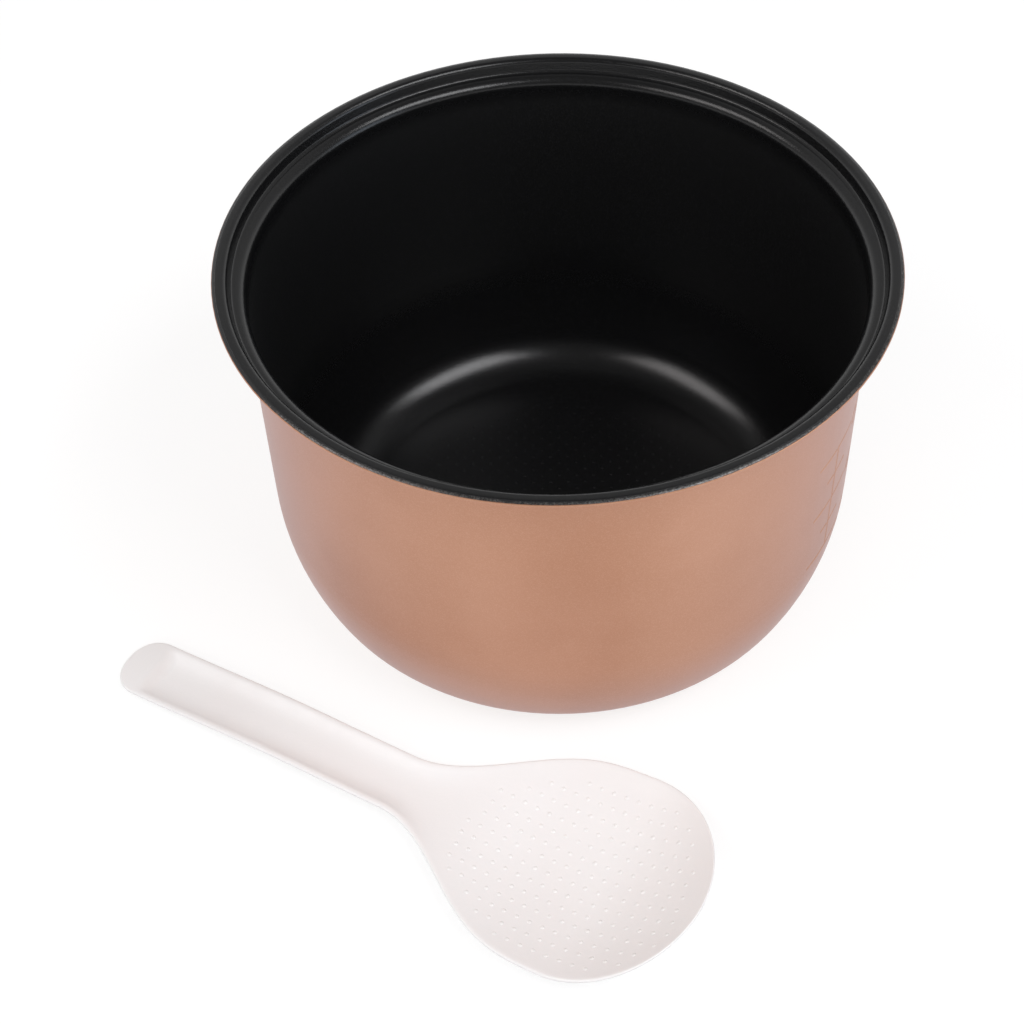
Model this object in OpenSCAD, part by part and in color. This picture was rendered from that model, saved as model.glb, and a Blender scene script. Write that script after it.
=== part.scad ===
// Inner pot of a rice cooker, with its rice paddle lying beside it.
// All sizes are in millimetres. The origin is the centre of the pot's base,
// on the surface that both of them stand on, and +Z is up.

/* [Pot] */
// Diameter over the flange of the rim
rim_d = 200; // [180:1:220]
// Height from the base to the top of the rim
pot_h = 121; // [100:1:150]
// Outside radius of the long curve at the foot of the wall
belly_r = 78; // [60:1:100]
// Angle that the long curve turns through
belly_turn = 22; // [15:1:30]
// Outside radius of the tight curve round the base
base_r = 19; // [12:1:24]

/* [Rim] */
// Width of the flat flange
flange_w = 4.1; // [3:0.1:6]
// Width of the sloping step below the flange
step_w = 1.1; // [0.8:0.1:3]
// Height of the step
step_h = 4.2; // [2.8:0.1:5]
// Width of the ledge between the step and the wall
ledge_w = 4.2; // [4.2:0.1:6]
// Radius of the bend from the step to the flange
flange_bend = 1.8; // [1.7:0.1:2.2]
// Radius of the bend at the foot of the step
step_bend = 1.1; // [0.4:0.1:1.1]
// Radius of the bend from the wall to the ledge
ledge_bend = 3.3; // [1.7:0.1:3.3]

/* [Sheet] */
// Thickness of the non-stick coat inside
lining_t = 0.2; // [0.1:0.05:0.3]
// Thickness of the aluminium sheet
core_t = 0.8; // [0.6:0.1:1]
// Thickness of the copper-coloured coat outside
coat_t = 0.2; // [0.1:0.05:0.3]

/* [Paddle] */
// Length from the end of the handle to the tip of the blade
paddle_l = 201.2; // [185:0.2:215]
// Width of the handle near its end
handle_w = 21; // [17:0.1:25]
// Width of the handle where the neck starts
neck_w = 20.3; // [17:0.1:25]
// Greatest width of the blade
blade_w = 72; // [60:0.2:80]
// Distance from the end of the handle to the start of the neck
neck_at = 101; // [90:1:105]
// Distance from the end of the handle to the widest part of the blade
blade_at = 169.6; // [155:0.2:172]
// Thickness of the moulding
wall_t = 1.9; // [1.5:0.1:2.5]
// Thickness at the edge of the blade and the handle
edge_t = 1.3; // [1:0.1:1.5]
// Depth of the channel in the handle
channel_d = 2.4; // [1.5:0.1:3]
// Depth of the dish in the blade
dish_d = 7; // [3:0.1:9]
// Width of the raised rim along the handle
handle_rim = 1.5; // [1:0.1:2.5]
// Width of the flat rim round the blade
blade_rim = 0.8; // [0.5:0.1:1.5]
// Length of the flat pad at the end of the handle
pad_l = 9.6; // [8:0.2:14]
// Rise of the blade's tip above its sides
tip_rise = 6.5; // [2:0.5:9]

/* [Places] */
// End of the paddle's handle, to the right of the pot's centre
paddle_x = -138.4; // [-160:0.1:-130]
// End of the paddle's handle, behind the pot's centre
paddle_y = -56; // [-90:0.1:-50]
// Direction that the blade points in, turned from +X
paddle_turn = -29.9; // [-35:0.1:-25]

/* [Hidden] */

// ---- The pot's section ----
// Every face of the pot is one line that runs from the middle of the floor
// to the lip of the rim, at a fixed depth below the inner surface.
sheet_t = lining_t + core_t + coat_t;
inner_r = rim_d / 2 - flange_w - step_w - ledge_w;
ledge_z = pot_h - step_h;
// Height at which the wall starts to curve, and the middle of the long curve
belly_z = base_r + (belly_r - base_r) * sin(belly_turn);
belly_x = inner_r + sheet_t - belly_r;
// Radius of the flat base, below the middle of the tight curve
flat_r = belly_x + (belly_r - base_r) * cos(belly_turn);
// The tangent where the two curves meet cuts the floor and the wall this far off
base_cut = (base_r - sheet_t) * tan((90 - belly_turn) / 2);
belly_cut = (belly_r - sheet_t) * tan(belly_turn / 2);
// Sharp corners of the inner surface, as [radius, height]
corners = [
    [0, sheet_t],
    [flat_r + base_cut, sheet_t],
    [inner_r, belly_z - belly_cut],
    [inner_r, ledge_z],
    [inner_r + ledge_w, ledge_z],
    [inner_r + ledge_w + step_w, pot_h],
    [rim_d / 2, pot_h],
];
// Radius of the inner surface at each of those corners
bends = [0, base_r - sheet_t, belly_r - sheet_t, ledge_bend, step_bend, flange_bend, 0];
last = len(corners) - 1;
wide_bend = 5;   // a bend over this radius is drawn in fine steps
fine_step = 4;   // degrees to a step in a wide bend
small_step = 9;  // degrees to a step in a small bend

function unit(v) = v / norm(v);
function turned(v, a) = [v[0] * cos(a) - v[1] * sin(a), v[0] * sin(a) + v[1] * cos(a)];
function heading(i) = unit(corners[i + 1] - corners[i]);
function outward(i) = [heading(i)[1], -heading(i)[0]];
function turn(i) = let (a = heading(i - 1), b = heading(i)) atan2(cross(a, b), a * b);

// Points of the bend at corner i, at a depth below the inner surface
function bend(i, depth) =
    let (
        angle = turn(i),
        out = outward(i - 1) * sign(angle),
        start = corners[i] - heading(i - 1) * bends[i] * tan(abs(angle) / 2),
        centre = start - out * bends[i],
        steps = ceil(abs(angle) / (bends[i] > wide_bend ? fine_step : small_step))
    )
    [for (k = [0 : steps]) centre + turned(out, angle * k / steps) * (bends[i] + sign(angle) * depth)];

// Points of the face from the base's edge to the lip, at a depth
function skin(depth) = concat(
    [for (i = [1 : last - 1]) each bend(i, depth)],
    [corners[last] + outward(last - 1) * depth]
);
function reverse(list) = [for (k = [len(list) - 1 : -1 : 0]) list[k]];

// Aluminium pressing, bare and full thickness across the flat base
module pot_shell() {
    color([0.80, 0.80, 0.81])
        rotate_extrude($fn = 180)
            polygon(concat(
                [[0, sheet_t - lining_t]], skin(lining_t),
                reverse(skin(lining_t + core_t)), [[flat_r, 0], [0, 0]]
            ));
}

// Black non-stick coat, from the floor over the rim to the lip
module nonstick_lining() {
    color([0.05, 0.05, 0.055])
        rotate_extrude($fn = 180)
            polygon(concat(
                [[0, sheet_t]], skin(0),
                reverse(skin(lining_t)), [[0, sheet_t - lining_t]]
            ));
}

// Copper-coloured coat, from the edge of the flat base to the lip
module copper_coat() {
    color([0.76, 0.57, 0.46])
        rotate_extrude($fn = 180)
            polygon(concat(skin(lining_t + core_t), reverse(skin(sheet_t))));
}

// ---- The paddle ----
// s is the distance from the end of the handle and t the distance to the left
// of the middle line. The outline and the heights follow formulas in s.
end_round = 9.4;        // length of the rounded end of the handle
end_power = 2.2;        // squareness of that end
tip_power = 1.95;       // squareness of the blade's tip
neck_power = 3.7;       // how soon the neck widens to the blade
step_l = 4;             // length of the slope from the pad into the channel
fade_l = 45;            // length over which the channel opens into the dish
blade_lift = 5.2;       // rise of the blade's sides above the handle's end
arch = 1;               // rise in the middle of the handle
arch_ends = [10, 100];  // where the arch starts and ends
dip = 1.2;              // drop of the neck
dip_ends = [95, 165];   // where the dip starts and ends
tip_from = 158;         // where the tip starts to rise
tip_curl = 1.8;         // how late that rise comes
channel_power = 2.6;    // flatness of the channel's floor
dish_power = 2;         // flatness of the dish
end_gap = 0.02;         // how far the first and last ring stay from the ends
across = 12;            // strips from side to side

function clamp(x) = min(1, max(0, x));
function ease(x) = let (c = clamp(x)) c * c * (3 - 2 * c);
function hump(s, ends) = (1 - cos(360 * clamp((s - ends[0]) / (ends[1] - ends[0])))) / 2;
function blend(a, b, k) = a + (b - a) * k;
function arc(x, power) = pow(max(0, 1 - pow(abs(x), power)), 1 / power);
function opening(s) = ease((s - neck_at) / fade_l);

function half_w(s) =
    s < end_round ? handle_w / 2 * arc(1 - s / end_round, end_power) :
    s < neck_at ? blend(handle_w, neck_w, (s - end_round) / (neck_at - end_round)) / 2 :
    s < blade_at ?
        blend(neck_w, blade_w,
              1 - pow(1 - pow((s - neck_at) / (blade_at - neck_at), 2), neck_power)) / 2 :
    blade_w / 2 * arc((s - blade_at) / (paddle_l - blade_at), tip_power);
function rim_z(s) =
    blade_lift * s / blade_at + arch * hump(s, arch_ends) - dip * hump(s, dip_ends)
    + tip_rise * pow(clamp((s - tip_from) / (paddle_l - tip_from)), tip_curl);
function dish(s) = dish_d * pow(2 * half_w(s) / blade_w, 2);
function under_depth(s) = blend(channel_d, dish(s), opening(s));
function top_depth(s) = under_depth(s) * ease((s - pad_l) / step_l);
function power(s) = blend(channel_power, dish_power, opening(s));
function top_z(s, t) =
    let (inside = half_w(s) - min(half_w(s) / 2, blend(handle_rim, blade_rim, opening(s))))
    rim_z(s) - top_depth(s) * (1 - pow(min(1, abs(t) / inside), power(s)));
function under_z(s, t) =
    rim_z(s) - edge_t
    - (under_depth(s) + wall_t - edge_t) * (1 - pow(min(1, abs(t) / half_w(s)), power(s)));

// Distances at which rings are drawn: round the end, along the handle, round the tip
stations = concat(
    [for (a = [0 : 15 : 75]) max(end_gap, end_round * (1 - cos(a)))],
    [end_round, pad_l, pad_l + step_l / 3, pad_l + step_l * 2 / 3, pad_l + step_l],
    [for (k = [1 : 1 : 24]) blend(pad_l + step_l, blade_at, k / 25)],
    [for (a = [0 : 7.5 : 82.5]) blade_at + (paddle_l - blade_at) * sin(a)],
    [paddle_l - end_gap]
);
// Height by which the paddle is raised so that its lowest point is at zero
rest_lift = -min([for (s = stations) under_z(s, 0)]);

function ring(s) = concat(
    [for (k = [0 : across]) let (t = half_w(s) * (2 * k / across - 1)) [s, t, top_z(s, t)]],
    [for (k = [across : -1 : 0]) let (t = half_w(s) * (2 * k / across - 1)) [s, t, under_z(s, t)]]
);

module paddle_body() {
    ring_n = 2 * (across + 1);
    ring_of = len(stations);
    handle_end = ring_n * ring_of;
    blade_end = handle_end + 1;
    points = concat(
        [for (s = stations) each ring(s)],
        [[0, 0, rim_z(0) - edge_t / 2], [paddle_l, 0, rim_z(paddle_l) - edge_t / 2]]
    );
    sides = [
        for (i = [0 : ring_of - 2], k = [0 : ring_n - 1])
            let (a = i * ring_n + k, b = i * ring_n + (k + 1) % ring_n)
                each [[a, b, b + ring_n], [a, b + ring_n, a + ring_n]]
    ];
    ends = [
        for (k = [0 : ring_n - 1])
            let (next = (k + 1) % ring_n, far = (ring_of - 1) * ring_n)
                each [[next, k, handle_end], [far + k, far + next, blade_end]]
    ];
    polyhedron(points = points, faces = concat(sides, ends));
}

// White moulded paddle, lying on its underside in front of the pot
module rice_paddle() {
    color([0.94, 0.93, 0.91])
        translate([paddle_x, paddle_y, rest_lift])
            rotate([0, 0, paddle_turn])
                paddle_body();
}

pot_shell();
nonstick_lining();
copper_coat();
rice_paddle();
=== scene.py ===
"""Inner pot of a rice cooker with its rice paddle: formed pieces, finishes and a plain studio."""

from functools import cache
from math import atan2, ceil, cos, pi, radians, sin, tan

import bmesh
import bpy
import numpy as np
from bpy.props import FloatProperty, FloatVectorProperty, IntProperty, PointerProperty
from mathutils import Color, Matrix, Vector


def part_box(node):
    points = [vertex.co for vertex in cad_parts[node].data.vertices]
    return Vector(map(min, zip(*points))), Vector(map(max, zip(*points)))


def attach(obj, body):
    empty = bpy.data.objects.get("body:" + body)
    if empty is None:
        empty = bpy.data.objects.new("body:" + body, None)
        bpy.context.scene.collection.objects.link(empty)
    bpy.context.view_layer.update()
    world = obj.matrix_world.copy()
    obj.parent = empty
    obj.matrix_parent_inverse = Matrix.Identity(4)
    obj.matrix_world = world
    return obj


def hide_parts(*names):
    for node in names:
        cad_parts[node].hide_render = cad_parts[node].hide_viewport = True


bl_info = {
    "name": "Rice cooker pot and paddle",
    "version": (1, 0, 0),
    "blender": (4, 5, 0),
    "location": "View3D > Sidebar > Rice Pot",
    "description": "Forms the coats of a rice cooker's inner pot and its paddle, and lights them",
    "category": "Object",
}

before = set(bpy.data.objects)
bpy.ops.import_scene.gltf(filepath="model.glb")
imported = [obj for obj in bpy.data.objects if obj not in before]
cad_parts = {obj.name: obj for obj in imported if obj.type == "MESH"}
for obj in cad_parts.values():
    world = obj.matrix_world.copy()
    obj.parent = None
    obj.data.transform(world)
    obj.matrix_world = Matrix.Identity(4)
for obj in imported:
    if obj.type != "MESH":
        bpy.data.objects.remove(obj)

MM = 0.001
# Points of a mesh that are closer together than this, in metres, become one
ONE_POINT = 1e-6
POT_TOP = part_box("pot_shell")[1]
WHITE = (1.0, 1.0, 1.0, 1.0)


# ---- Settings ----


def length(name, description, millimetres):
    """A length, given in millimetres and kept in metres."""
    value = millimetres * MM
    return FloatProperty(name=name, description=description, default=value, precision=5, unit="LENGTH")


def turn(name, description, angle):
    """An angle, given in degrees."""
    return FloatProperty(name=name, description=description, default=radians(angle), subtype="ANGLE")


def number(name, description, value):
    """A plain number."""
    return FloatProperty(name=name, description=description, default=value, precision=4)


def colour(name, description, *parts):
    """A linear colour, as red, green and blue."""
    return FloatVectorProperty(
        name=name, description=description, default=parts, subtype="COLOR", min=0, max=1
    )


def place(name, description, *millimetres):
    """A point, given in millimetres and kept in metres."""
    point = tuple(part * MM for part in millimetres)
    return FloatVectorProperty(
        name=name, description=description, default=point, precision=5, subtype="TRANSLATION", unit="LENGTH"
    )


class PotSizes(bpy.types.PropertyGroup):
    """Section of the pot, as in the construction"""

    belly_radius: length("Belly radius", "Outer radius of the upper bend", 78)
    belly_turn: turn("Belly turn", "Angle of the upper bend", 22)
    base_radius: length("Base radius", "Outer radius of the bend into the base", 19)
    flange: length("Flange", "Width of the flat flange", 4.1)
    step_width: length("Step width", "Run of the step inside the flange", 1.1)
    step_height: length("Step height", "Drop from the flange to the ledge", 4.2)
    ledge: length("Ledge", "Width of the ledge inside the step", 4.2)
    flange_bend: length("Flange bend", "Radius of the bend from the step to the flange", 1.8)
    step_bend: length("Step bend", "Radius of the bend at the foot of the step", 1.1)
    ledge_bend: length("Ledge bend", "Radius of the bend from the wall to the ledge", 3.3)
    lining: length("Lining", "Thickness of the non-stick lining", 0.2)
    core: length("Core", "Thickness of the aluminium", 0.8)
    coat: length("Coat", "Thickness of the copper coat", 0.2)
    lip_reach: length("Lip reach", "How far in the lip starts to turn down", 2)
    lip_drop: length("Lip drop", "How far the lip turns down", 0.9)
    black_end: turn("Black end", "Where the lining ends, round the lip from its top", 30)
    copper_end: turn("Copper end", "Where the copper coat ends, round the lip from its top", 64)
    scuff_at: turn("Scuffs at", "Direction in which the lip's metal shows", -65)
    scuff_reach: turn("Scuff reach", "How far to each side it shows", 62)
    scuff_fade: turn("Scuff fade", "How much further until the lip is all black", 35)
    columns: IntProperty(name="Columns", description="Columns round the pot beside the scale", default=132)


class ScaleSizes(bpy.types.PropertyGroup):
    """Level scale pressed into the wall"""

    azimuth: turn("Azimuth", "Where its upright line stands, from +X", -28.8)
    top: length("Top", "Height of the highest mark", 82)
    bottom: length("Bottom", "Height of the lowest mark", 39)
    long_left: length("Long mark, left", "Reach of a long mark to the left", 11.5)
    long_right: length("Long mark, right", "Reach of a long mark to the right", 11)
    short_left: length("Short mark, left", "Reach of a short mark to the left", 5)
    short_right: length("Short mark, right", "Reach of a short mark to the right", 7.2)
    figure_height: length("Figure height", "Height of a figure", 8.5)
    figure_gap: length("Figure gap", "From a long mark's end to its figure", 2.4)
    groove: length("Groove", "Half the width of a groove's floor", 0.25)
    shoulder: length("Shoulder", "Width of the slope on each side of a groove", 0.38)
    depth: length("Depth", "Depth of a groove outside and height of its ridge inside", 0.2)
    fine_step: length("Fine step", "Size of a face beside a groove", 0.21)


class PaddleSizes(bpy.types.PropertyGroup):
    """The paddle, as in the construction; heights are above the end of the handle"""

    long: length("Length", "From the handle's end to the blade's tip", 201.2)
    handle_width: length("Handle width", "Width of the handle near its end", 21)
    neck_width: length("Neck width", "Width where the neck starts", 20.3)
    blade_width: length("Blade width", "Greatest width of the blade", 72)
    neck_at: length("Neck at", "From the handle's end to the start of the neck", 101)
    blade_at: length("Blade at", "From the handle's end to the widest part", 169.6)
    wall: length("Wall", "Thickness of the moulding", 1.9)
    edge: length("Edge", "Thickness at its edge", 1.3)
    edge_round: length("Edge rounding", "Radius on its edges", 0.6)
    channel: length("Channel", "Depth of the channel in the handle", 2.4)
    dish: length("Dish", "Depth of the dish in the blade", 7)
    handle_rim: length("Handle rim", "Width of the raised rim of the handle", 1.5)
    blade_rim: length("Blade rim", "Width of the flat rim of the blade", 0.8)
    pad: length("Pad", "Length of the flat pad at the handle's end", 9.6)
    tip_rise: length("Tip rise", "Rise of the tip above the blade's sides", 6.5)
    end: place("Handle's end", "Where the handle ends, in plan", -138.4, -56, 0)
    turned: turn("Turned", "Direction of the blade, from +X", -29.9)


class StudSizes(bpy.types.PropertyGroup):
    """Small raised dots in the pot and on the blade"""

    floor_pitch: length("Floor pitch", "Between dots of a row on the pot's floor", 6)
    floor_row: length("Floor row", "Between rows on the pot's floor", 3.05)
    floor_centre: place("Floor centre", "A dot near the middle of the floor", -0.2, -2, 0)
    floor_reach: length("Floor reach", "Radius of the dotted field on the floor", 60)
    floor_radius: length("Floor dot radius", "Radius of the rounded body of a floor dot", 0.85)
    floor_height: length("Floor dot height", "Half height of that body", 0.3)
    floor_sink: length("Floor dot sink", "How deep the middle of that body lies", 0.2)
    blade_pitch: length("Blade pitch", "Between dots of a row on the blade", 4.03)
    blade_row: length("Blade row", "Between rows on the blade", 4.35)
    blade_wander: length("Blade wander", "How far a row on the blade may be shifted", 1.2)
    blade_skew: turn("Blade skew", "Angle of the rows to the blade's middle line", 2.3)
    blade_centre: place("Blade centre", "A dot on the blade, along and across the paddle", 160, -3.2, 0)
    blade_shift: place("Blade shift", "Shift of the dotted field, along and across", 1.4, -1.2, 0)
    blade_from: length("Blade from", "Where the dotted field starts along the paddle", 125.5)
    blade_gap: length("Blade gap", "Plain band along the blade's edge", 4.6)
    blade_radius: length("Blade dot radius", "Radius of the rounded body of a blade dot", 0.75)
    blade_height: length("Blade dot height", "Half height of that body", 0.21)
    blade_sink: length("Blade dot sink", "How deep the middle of that body lies", 0.08)


class Finishes(bpy.types.PropertyGroup):
    """Colours of the finishes"""

    black: colour("Black", "Non-stick coat", 0.0055, 0.0055, 0.0058)
    black_grain: colour("Black grain", "Lighter grains of the non-stick coat", 0.011, 0.011, 0.012)
    copper: colour("Copper", "Metallic paint", 0.55, 0.28, 0.17)
    copper_deep: colour("Deep copper", "Darker drifts of the paint", 0.5, 0.243, 0.138)
    copper_flake: colour("Copper flake", "Bright flakes in the paint", 0.66, 0.40, 0.29)
    copper_edge: colour("Copper edge", "Tint of the paint seen at a low angle", 0.5, 0.53, 0.74)
    silver: colour("Silver", "Bare aluminium", 0.66, 0.65, 0.64)
    # Shaded silver: painted shade, darkening the bare aluminium in the valleys of the turned rings
    silver_dull: colour("Shaded silver", "Bare aluminium in the valleys", 0.42, 0.41, 0.40)
    lip_metal: colour("Lip metal", "Scuffed bare metal of the lip", 0.18, 0.176, 0.172)
    lip_dark: colour("Dark lip metal", "Dull patches of that metal", 0.035, 0.034, 0.033)
    # A dark brown band round the lip, just above where the copper coat ends
    overspray: colour("Lip brown band", "Dark brown band on the lip, above where the copper coat ends", 0.09, 0.045, 0.03)
    white: colour("White", "Moulded plastic", 0.85, 0.838, 0.838)
    white_warm: colour("Warm white", "Warmer drifts of the plastic", 0.84, 0.82, 0.818)


class Studio(bpy.types.PropertyGroup):
    """Floor, lamps and camera"""

    camera_place: place("Camera", "Where the camera stands", -2.8755, -405.632, 458.465)
    camera_down: turn("Looking down", "Angle of the camera's view below the horizon", 48.064)
    camera_roll: turn("Roll", "Turn of the camera about its own view", 1.14985)
    camera_lens: number("Lens", "Focal length in millimetres", 63.28)
    camera_shift: number("Shift", "Sideways shift of the view", -0.03955)
    key_watts: number("Key lamp", "Power of the lamp on the right", 7.0)
    fill_watts: number("Fill lamp", "Power of the lamp on the left", 4.6)
    soft_watts: number("Soft lamp", "Power of the lamp that gloss does not show", 3.6)
    side_watts: number("Side lamp", "Power of the cooler lamp low on the right", 1.6)
    world_level: number("World", "Strength of the world on matt surfaces", 0.44)
    back_level: number("Back", "Strength of the world behind, halfway up, in gloss", 0.47)
    ceiling_level: number("Ceiling", "Strength of the world overhead in gloss", 0.12)
    floor_level: number("Floor glow", "How much of the floor's white is its own", 0.74)
    floor_shade: number("Floor shade", "How much of the floor's white shows shadows", 0.3)
    floor_tone: number("Floor tone", "Grey of the floor in the light that it throws on the object", 0.8)
    floor_near: length("Floor near", "Distance at which the floor starts to pass into the backdrop", 350)
    floor_far: length("Floor far", "Distance at which it is as white as the backdrop", 1100)


class RicePotSettings(bpy.types.PropertyGroup):
    """All sizes, colours and lamps"""

    pot: PointerProperty(type=PotSizes)
    scale: PointerProperty(type=ScaleSizes)
    paddle: PointerProperty(type=PaddleSizes)
    studs: PointerProperty(type=StudSizes)
    finishes: PointerProperty(type=Finishes)
    studio: PointerProperty(type=Studio)


# ---- Node trees ----


def pick(sockets, key):
    """The socket with that identifier, or else the first in use with that name, its spaces given as _."""
    name = key.replace("_", " ")
    same = [socket for socket in sockets if socket.identifier == key]
    return (same or [socket for socket in sockets if socket.name == name and socket.enabled])[0]


def adding_math(operation, swapped=False):
    """A method for one of Python's signs, which adds a Math node."""

    def method(self, other):
        return self.tree.math(operation, *((other, self) if swapped else (self, other)))

    return method


class Link:
    """What a node puts out: its first output, and its others by name. Python's signs add Math nodes."""

    def __init__(self, tree, node, socket=None):
        self.tree, self.node = tree, node
        self.socket = node.outputs[0] if socket is None and node.outputs else socket

    def __getattr__(self, name):
        return Link(self.tree, self.node, pick(self.node.outputs, name))

    __add__ = adding_math("ADD")
    __sub__ = adding_math("SUBTRACT")
    __rsub__ = adding_math("SUBTRACT", swapped=True)
    __mul__ = adding_math("MULTIPLY")
    __truediv__ = adding_math("DIVIDE")
    __rtruediv__ = adding_math("DIVIDE", swapped=True)
    __mod__ = adding_math("MODULO")
    __lt__ = adding_math("LESS_THAN")
    __gt__ = adding_math("GREATER_THAN")


class Tree:
    """A node tree that is being built."""

    def __init__(self, data):
        self.data = data

    def feed(self, socket, value):
        """Links an output to a socket, or sets the socket's own value."""
        if isinstance(value, Link):
            self.data.links.new(value.socket, socket)
        else:
            socket.default_value = (*value, 1.0) if isinstance(value, Color) else value

    def add(self, kind, settings=None, /, **inputs):
        """A new node with its settings, and with values or links on its inputs."""
        node = self.data.nodes.new(kind)
        for name, value in (settings or {}).items():
            setattr(node, name, value)
        for key, value in inputs.items():
            self.feed(pick(node.inputs, key), value)
        return Link(self, node)

    def math(self, operation, *values):
        """The result of a Math node."""
        made = self.add("ShaderNodeMath", {"operation": operation})
        for socket, value in zip(made.node.inputs, values):
            self.feed(socket, value)
        return made

    def parts(self, vector):
        """The parts of a vector, as X, Y and Z."""
        return self.add("ShaderNodeSeparateXYZ", Vector=vector)

    def vector(self, **parts):
        """A vector from its parts, with 0 for those left out."""
        return self.add("ShaderNodeCombineXYZ", **parts)

    def spread(self, value, low, high, start, end, smooth=False):
        """A value moved from one range to another, and held at its ends."""
        kind = {"interpolation_type": "SMOOTHSTEP" if smooth else "LINEAR"}
        ranges = {"From_Min": low, "From_Max": high, "To_Min": start, "To_Max": end}
        return self.add("ShaderNodeMapRange", kind, Value=value, **ranges)

    def blend(self, factor, first, second):
        """One colour passing into another."""
        ends = {"A_Color": first, "B_Color": second}
        return self.add("ShaderNodeMix", {"data_type": "RGBA"}, Factor_Float=factor, **ends).Result_Color

    def noise(self, vector, size, detail):
        """Level of a noise whose lumps have a size."""
        return self.add("ShaderNodeTexNoise", Vector=vector, Scale=1 / size, Detail=detail).Fac

    def result(self, value):
        """Feeds the group's only output."""
        self.feed(self.end.inputs[0], value)


def kind_of(value):
    """The kind of socket for a default value, or the kind itself where there is no default."""
    if isinstance(value, str):
        return value
    if isinstance(value, tuple):
        return "Color" if value == WHITE else "Vector"
    return "Int" if isinstance(value, int) else "Float"


def new_group(name, kind, inputs, output, output_kind):
    """An empty node group, and its inputs, each given by its default or else by its kind."""
    tree = Tree(bpy.data.node_groups.new(name, kind))
    interface = tree.data.interface
    for label, value in inputs.items():
        made = interface.new_socket(label, in_out="INPUT", socket_type="NodeSocket" + kind_of(value))
        if not isinstance(value, str):
            made.default_value = value
    interface.new_socket(output, in_out="OUTPUT", socket_type="NodeSocket" + output_kind)
    tree.end = tree.data.nodes.new("NodeGroupOutput")
    return tree, tree.add("NodeGroupInput")


def linked(name, data):
    """A new object in the scene."""
    made = bpy.data.objects.new(name, data)
    bpy.context.scene.collection.objects.link(made)
    return made


def mesh_object(name, points, edges=(), faces=()):
    """A new object from plain points, edges and faces."""
    mesh = bpy.data.meshes.new(name)
    mesh.from_pydata(points, edges, faces)
    return linked(name, mesh)


def grown(source, tree, values, name, material):
    """The plain mesh object that a tree grows from source, which is removed."""
    modifier = source.modifiers.new(tree.name, "NODES")
    modifier.node_group = tree
    sockets = {item.name: item.identifier for item in tree.interface.items_tree if item.in_out == "INPUT"}
    for label, value in {**values, "Material": material}.items():
        modifier[sockets[label]] = value
    depsgraph = bpy.context.evaluated_depsgraph_get()
    mesh = bpy.data.meshes.new_from_object(
        source.evaluated_get(depsgraph), preserve_all_data_layers=True, depsgraph=depsgraph
    )
    source.modifiers.remove(modifier)
    bpy.data.objects.remove(source)
    if not mesh.polygons:
        raise RuntimeError(f"{name} came out empty")
    mesh.materials.clear()
    mesh.materials.append(material)
    return linked(name, mesh)


# ---- Section of the pot ----


def turned(vector, angle):
    """A plane vector turned anticlockwise."""
    x, y = vector
    return Vector((x * cos(angle) - y * sin(angle), x * sin(angle) + y * cos(angle)))


class Section:
    """Half section of the pressed sheet: straight runs joined by bends, from the axis to the lip."""

    # Angles between the points of a wide bend, a small one and the lip, and the radius that parts them
    wide_step, small_step, lip_step = radians(3), radians(9), radians(7)
    wide_bend = 5 * MM

    def __init__(self, pot):
        self.sheet = sheet = pot.lining + pot.core + pot.coat
        self.rim, self.height = POT_TOP.x, POT_TOP.z + pot.lining
        self.wall = wall = self.rim - pot.flange - pot.step_width - pot.ledge
        ledge_z = self.height - pot.step_height
        reach = pot.belly_radius - pot.base_radius
        belly_z = pot.base_radius + reach * sin(pot.belly_turn)
        self.flat = wall + sheet - pot.belly_radius + reach * cos(pot.belly_turn)
        base, belly = pot.base_radius - sheet, pot.belly_radius - sheet
        under = sheet - pot.lip_drop
        self.over, self.below = (pot.lip_reach, pot.lip_drop), (under, under)
        points = [
            (0, sheet),
            (self.flat + base * tan((pi / 2 - pot.belly_turn) / 2), sheet),
            (wall, belly_z - belly * tan(pot.belly_turn / 2)),
            (wall, ledge_z),
            (wall + pot.ledge, ledge_z),
            (wall + pot.ledge + pot.step_width, self.height),
            (self.rim, self.height),
        ]
        self.corners = [Vector(point) for point in points]
        self.bends = [0, base, belly, pot.ledge_bend, pot.step_bend, pot.flange_bend, 0]

    def heading(self, i):
        """Direction of the run from corner i to the next."""
        return (self.corners[i + 1] - self.corners[i]).normalized()

    def bend(self, i, depth):
        """Points round corner i, at a depth below the inner face."""
        before, after = self.heading(i - 1), self.heading(i)
        angle = atan2(before.cross(after), before.dot(after))
        side = 1 if angle > 0 else -1
        radius = self.bends[i]
        out = Vector((before.y, -before.x)) * side
        centre = self.corners[i] - before * radius * tan(abs(angle) / 2) - out * radius
        steps = ceil(abs(angle) / (self.wide_step if radius > self.wide_bend else self.small_step))
        return [centre + turned(out, angle * k / steps) * (radius + side * depth) for k in range(steps + 1)]

    def skin(self, depth):
        """The sheet's face at a depth, from the base to where the lip starts."""
        return [point for i in range(1, len(self.corners) - 1) for point in self.bend(i, depth)]

    def lip(self, start, end, depth_from, depth_to):
        """The turned-down lip between two angles from its top, its depth passing from one to another."""
        steps = ceil(abs(end - start) / self.lip_step)
        points = []
        for k in range(steps + 1):
            angle = start + (end - start) * k / steps
            depth = depth_from + (depth_to - depth_from) * k / steps
            across, up = self.over if angle <= pi / 2 else self.below
            centre = Vector((self.rim - across, self.height - self.over[1]))
            normal = Vector((sin(angle) * up, cos(angle) * across)).normalized()
            points.append(centre + Vector((sin(angle) * across, cos(angle) * up)) - normal * depth)
        return points


def crossed(points, heights):
    """The same line, with a point more wherever it passes one of the heights."""
    line = [points[0]]
    for start, end in zip(points, points[1:]):
        low, high = min(start.y, end.y), max(start.y, end.y)
        between = [height for height in heights if low < height < high]
        between.sort(reverse=end.y < start.y)
        line += [start.lerp(end, (height - start.y) / (end.y - start.y)) for height in between] + [end]
    return line


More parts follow.
